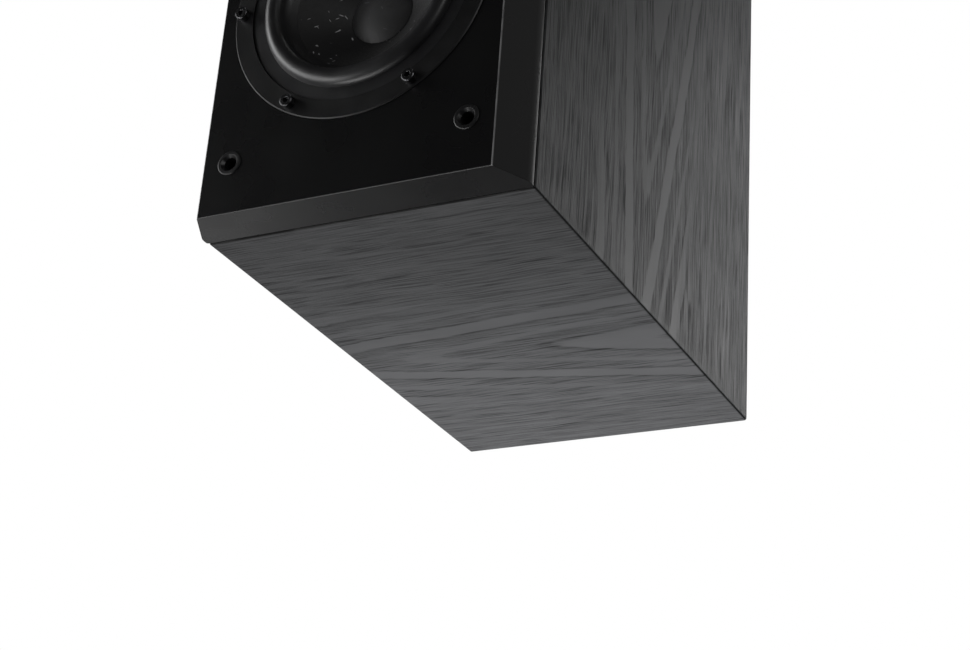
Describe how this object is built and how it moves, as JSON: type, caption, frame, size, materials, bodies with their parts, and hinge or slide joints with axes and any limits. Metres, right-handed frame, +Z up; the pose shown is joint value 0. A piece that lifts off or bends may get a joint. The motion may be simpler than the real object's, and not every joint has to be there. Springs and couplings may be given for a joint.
{
  "type": "bookshelf speaker",
  "caption": "Two-way bookshelf speaker: black-ash vinyl cabinet with a bevelled baffle, woofer, dome tweeter, rear port and binding posts.",
  "frame": {"origin": "centre of the cabinet's footprint, on the face it rests on", "axes": "+X right as seen from the front, +Y towards the back, +Z up"},
  "size_m": [0.184, 0.333, 0.32],
  "materials": {
    "vinyl_wrap": "black-ash grained vinyl wrapped round board",
    "baffle_finish": "satin black wrap on board",
    "bare_board": "bare medium-density fibreboard",
    "wadding": "loose polyester wadding",
    "driver_metal": "satin black paint",
    "gasket_foam": "closed-cell foam",
    "surround_rubber": "glossy rubber",
    "cone_pulp": "black pulp with bright mineral flecks",
    "dust_cap": "black treated pulp",
    "coil_former": "thin foil",
    "copper": "enamelled copper",
    "spider_cloth": "resin-dipped cotton",
    "magnet": "sintered ferrite",
    "plated_steel": "zinc plated",
    "black_screw": "black oxide",
    "tab_board": "phenolic board",
    "black_plastic": "fine-textured moulding",
    "red_plastic": "glossy moulding",
    "dome_silk": "coated woven silk",
    "gold_brass": "gold plated",
    "capacitor_film": "wrapped film",
    "cement": "cast cement case",
    "wire_jacket": "smooth jacket"
  },
  "bodies": {
    "cabinet": {"bottom_panel": "vinyl_wrap", "top_panel": "vinyl_wrap", "left_panel": "vinyl_wrap", "right_panel": "vinyl_wrap", "back_panel": "vinyl_wrap", "front_baffle": "baffle_finish", "brace": "bare_board", "side_wadding": "wadding", "woofer_frame": "driver_metal", "woofer_gasket": "gasket_foam", "tweeter_gasket": "gasket_foam", "terminal_gasket": "gasket_foam", "woofer_surround": "surround_rubber", "inductors": "copper", "woofer_lead_wires": "copper", "woofer_spider": "spider_cloth", "woofer_magnet": "magnet", "tweeter_magnet": "magnet", "woofer_top_plate": "plated_steel", "woofer_pole_yoke": "plated_steel", "tweeter_top_plate": "plated_steel", "tweeter_yoke": "plated_steel", "woofer_tee_nuts": "plated_steel", "board_screws": "plated_steel", "post_nuts": "plated_steel", "woofer_screws": "black_screw", "tweeter_screws": "black_screw", "terminal_screws": "black_screw", "woofer_terminal_tab": "tab_board", "tweeter_terminal_tab": "tab_board", "crossover_board": "tab_board", "tweeter_faceplate": "black_plastic", "grille_sockets": "black_plastic", "port_tube": "black_plastic", "terminal_cup": "black_plastic", "tweeter_rear_cup": "black_plastic", "board_standoffs": "black_plastic", "post_collar_black": "black_plastic", "post_collar_red": "red_plastic", "tweeter_surround": "dome_silk", "post_studs": "gold_brass", "post_solder_tags": "gold_brass", "capacitors": "capacitor_film", "resistors": "cement", "input_wires": "wire_jacket", "woofer_wires": "wire_jacket", "tweeter_wires": "wire_jacket"},
    "woofer_diaphragm": {"woofer_cone": "cone_pulp", "woofer_dust_cap": "dust_cap", "voice_coil_former": "coil_former", "voice_coil_winding": "copper"},
    "tweeter_diaphragm": {"tweeter_dome": "dome_silk", "tweeter_coil_former": "coil_former", "tweeter_winding": "copper"},
    "black_post_thread": {"post_insert_black": "gold_brass"},
    "black_post_cap": {"post_knob_black": "black_plastic"},
    "red_post_thread": {"post_insert_red": "gold_brass"},
    "red_post_cap": {"post_knob_red": "red_plastic"}
  },
  "joints": [
    {"name": "woofer_excursion", "type": "slide", "parent": "cabinet", "child": "woofer_diaphragm", "axis": [0, -1, 0], "range_m": [-0.005, 0.005], "stiffness_N_per_m": 900, "deforming": ["woofer_surround", "woofer_spider", "woofer_lead_wires"]},
    {"name": "tweeter_excursion", "type": "slide", "parent": "cabinet", "child": "tweeter_diaphragm", "axis": [0, -1, 0], "range_m": [-0.0005, 0.0005], "stiffness_N_per_m": 30, "deforming": ["tweeter_surround"]},
    {"name": "black_thread_travel", "type": "slide", "parent": "cabinet", "child": "black_post_thread", "axis": [0, 1, 0], "range_m": [0, 0.005]},
    {"name": "black_cap_turn", "type": "hinge", "parent": "black_post_thread", "child": "black_post_cap", "pos_m": [-0.0095, 0.155, 0.095], "axis": [0, -1, 0], "range_deg": [0, 1800]},
    {"name": "red_thread_travel", "type": "slide", "parent": "cabinet", "child": "red_post_thread", "axis": [0, 1, 0], "range_m": [0, 0.005]},
    {"name": "red_cap_turn", "type": "hinge", "parent": "red_post_thread", "child": "red_post_cap", "pos_m": [0.0095, 0.155, 0.095], "axis": [0, -1, 0], "range_deg": [0, 1800]}
  ],
  "couplings": [
    {"joint": "black_cap_turn", "follows": "black_thread_travel", "rad_per_m": 6283.2},
    {"joint": "red_cap_turn", "follows": "red_thread_travel", "rad_per_m": 6283.2}
  ]
}
